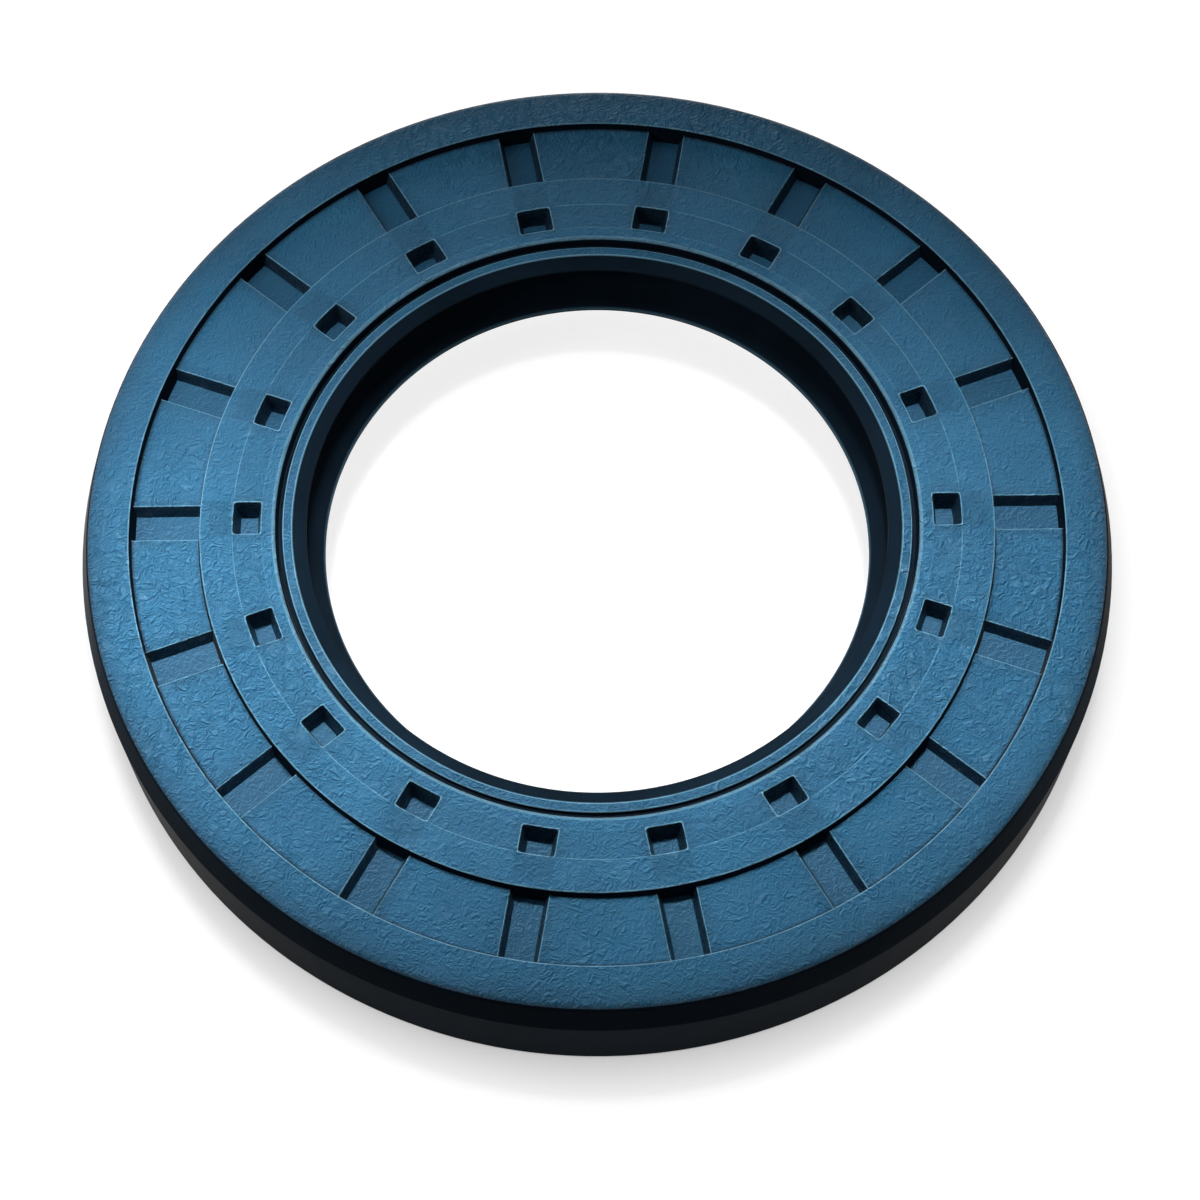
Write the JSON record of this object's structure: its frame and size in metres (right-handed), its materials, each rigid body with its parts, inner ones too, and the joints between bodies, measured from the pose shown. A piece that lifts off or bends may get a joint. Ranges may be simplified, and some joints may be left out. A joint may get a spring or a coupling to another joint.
{
  "type": "radial shaft seal",
  "caption": "Rubber-covered radial shaft seal with a spring-loaded main lip, a dust lip and a band of moulded tiles and pockets on its air side.",
  "frame": {"origin": "on the shaft axis, in the plane of the foot that the seal rests on (oil side)", "axes": "+Z along the shaft axis, from the oil side to the air side; +X through the middle of a slot and a square pocket"},
  "size_m": [0.1, 0.1, 0.013],
  "materials": {
    "rubber": "moulded, satin",
    "steel": "matt, with a thin film of rubber",
    "spring": "drawn wire, bright"
  },
  "bodies": {
    "root": {"rubber_body": "rubber", "steel_ring": "steel", "garter_spring": "spring"}
  },
  "joints": []
}
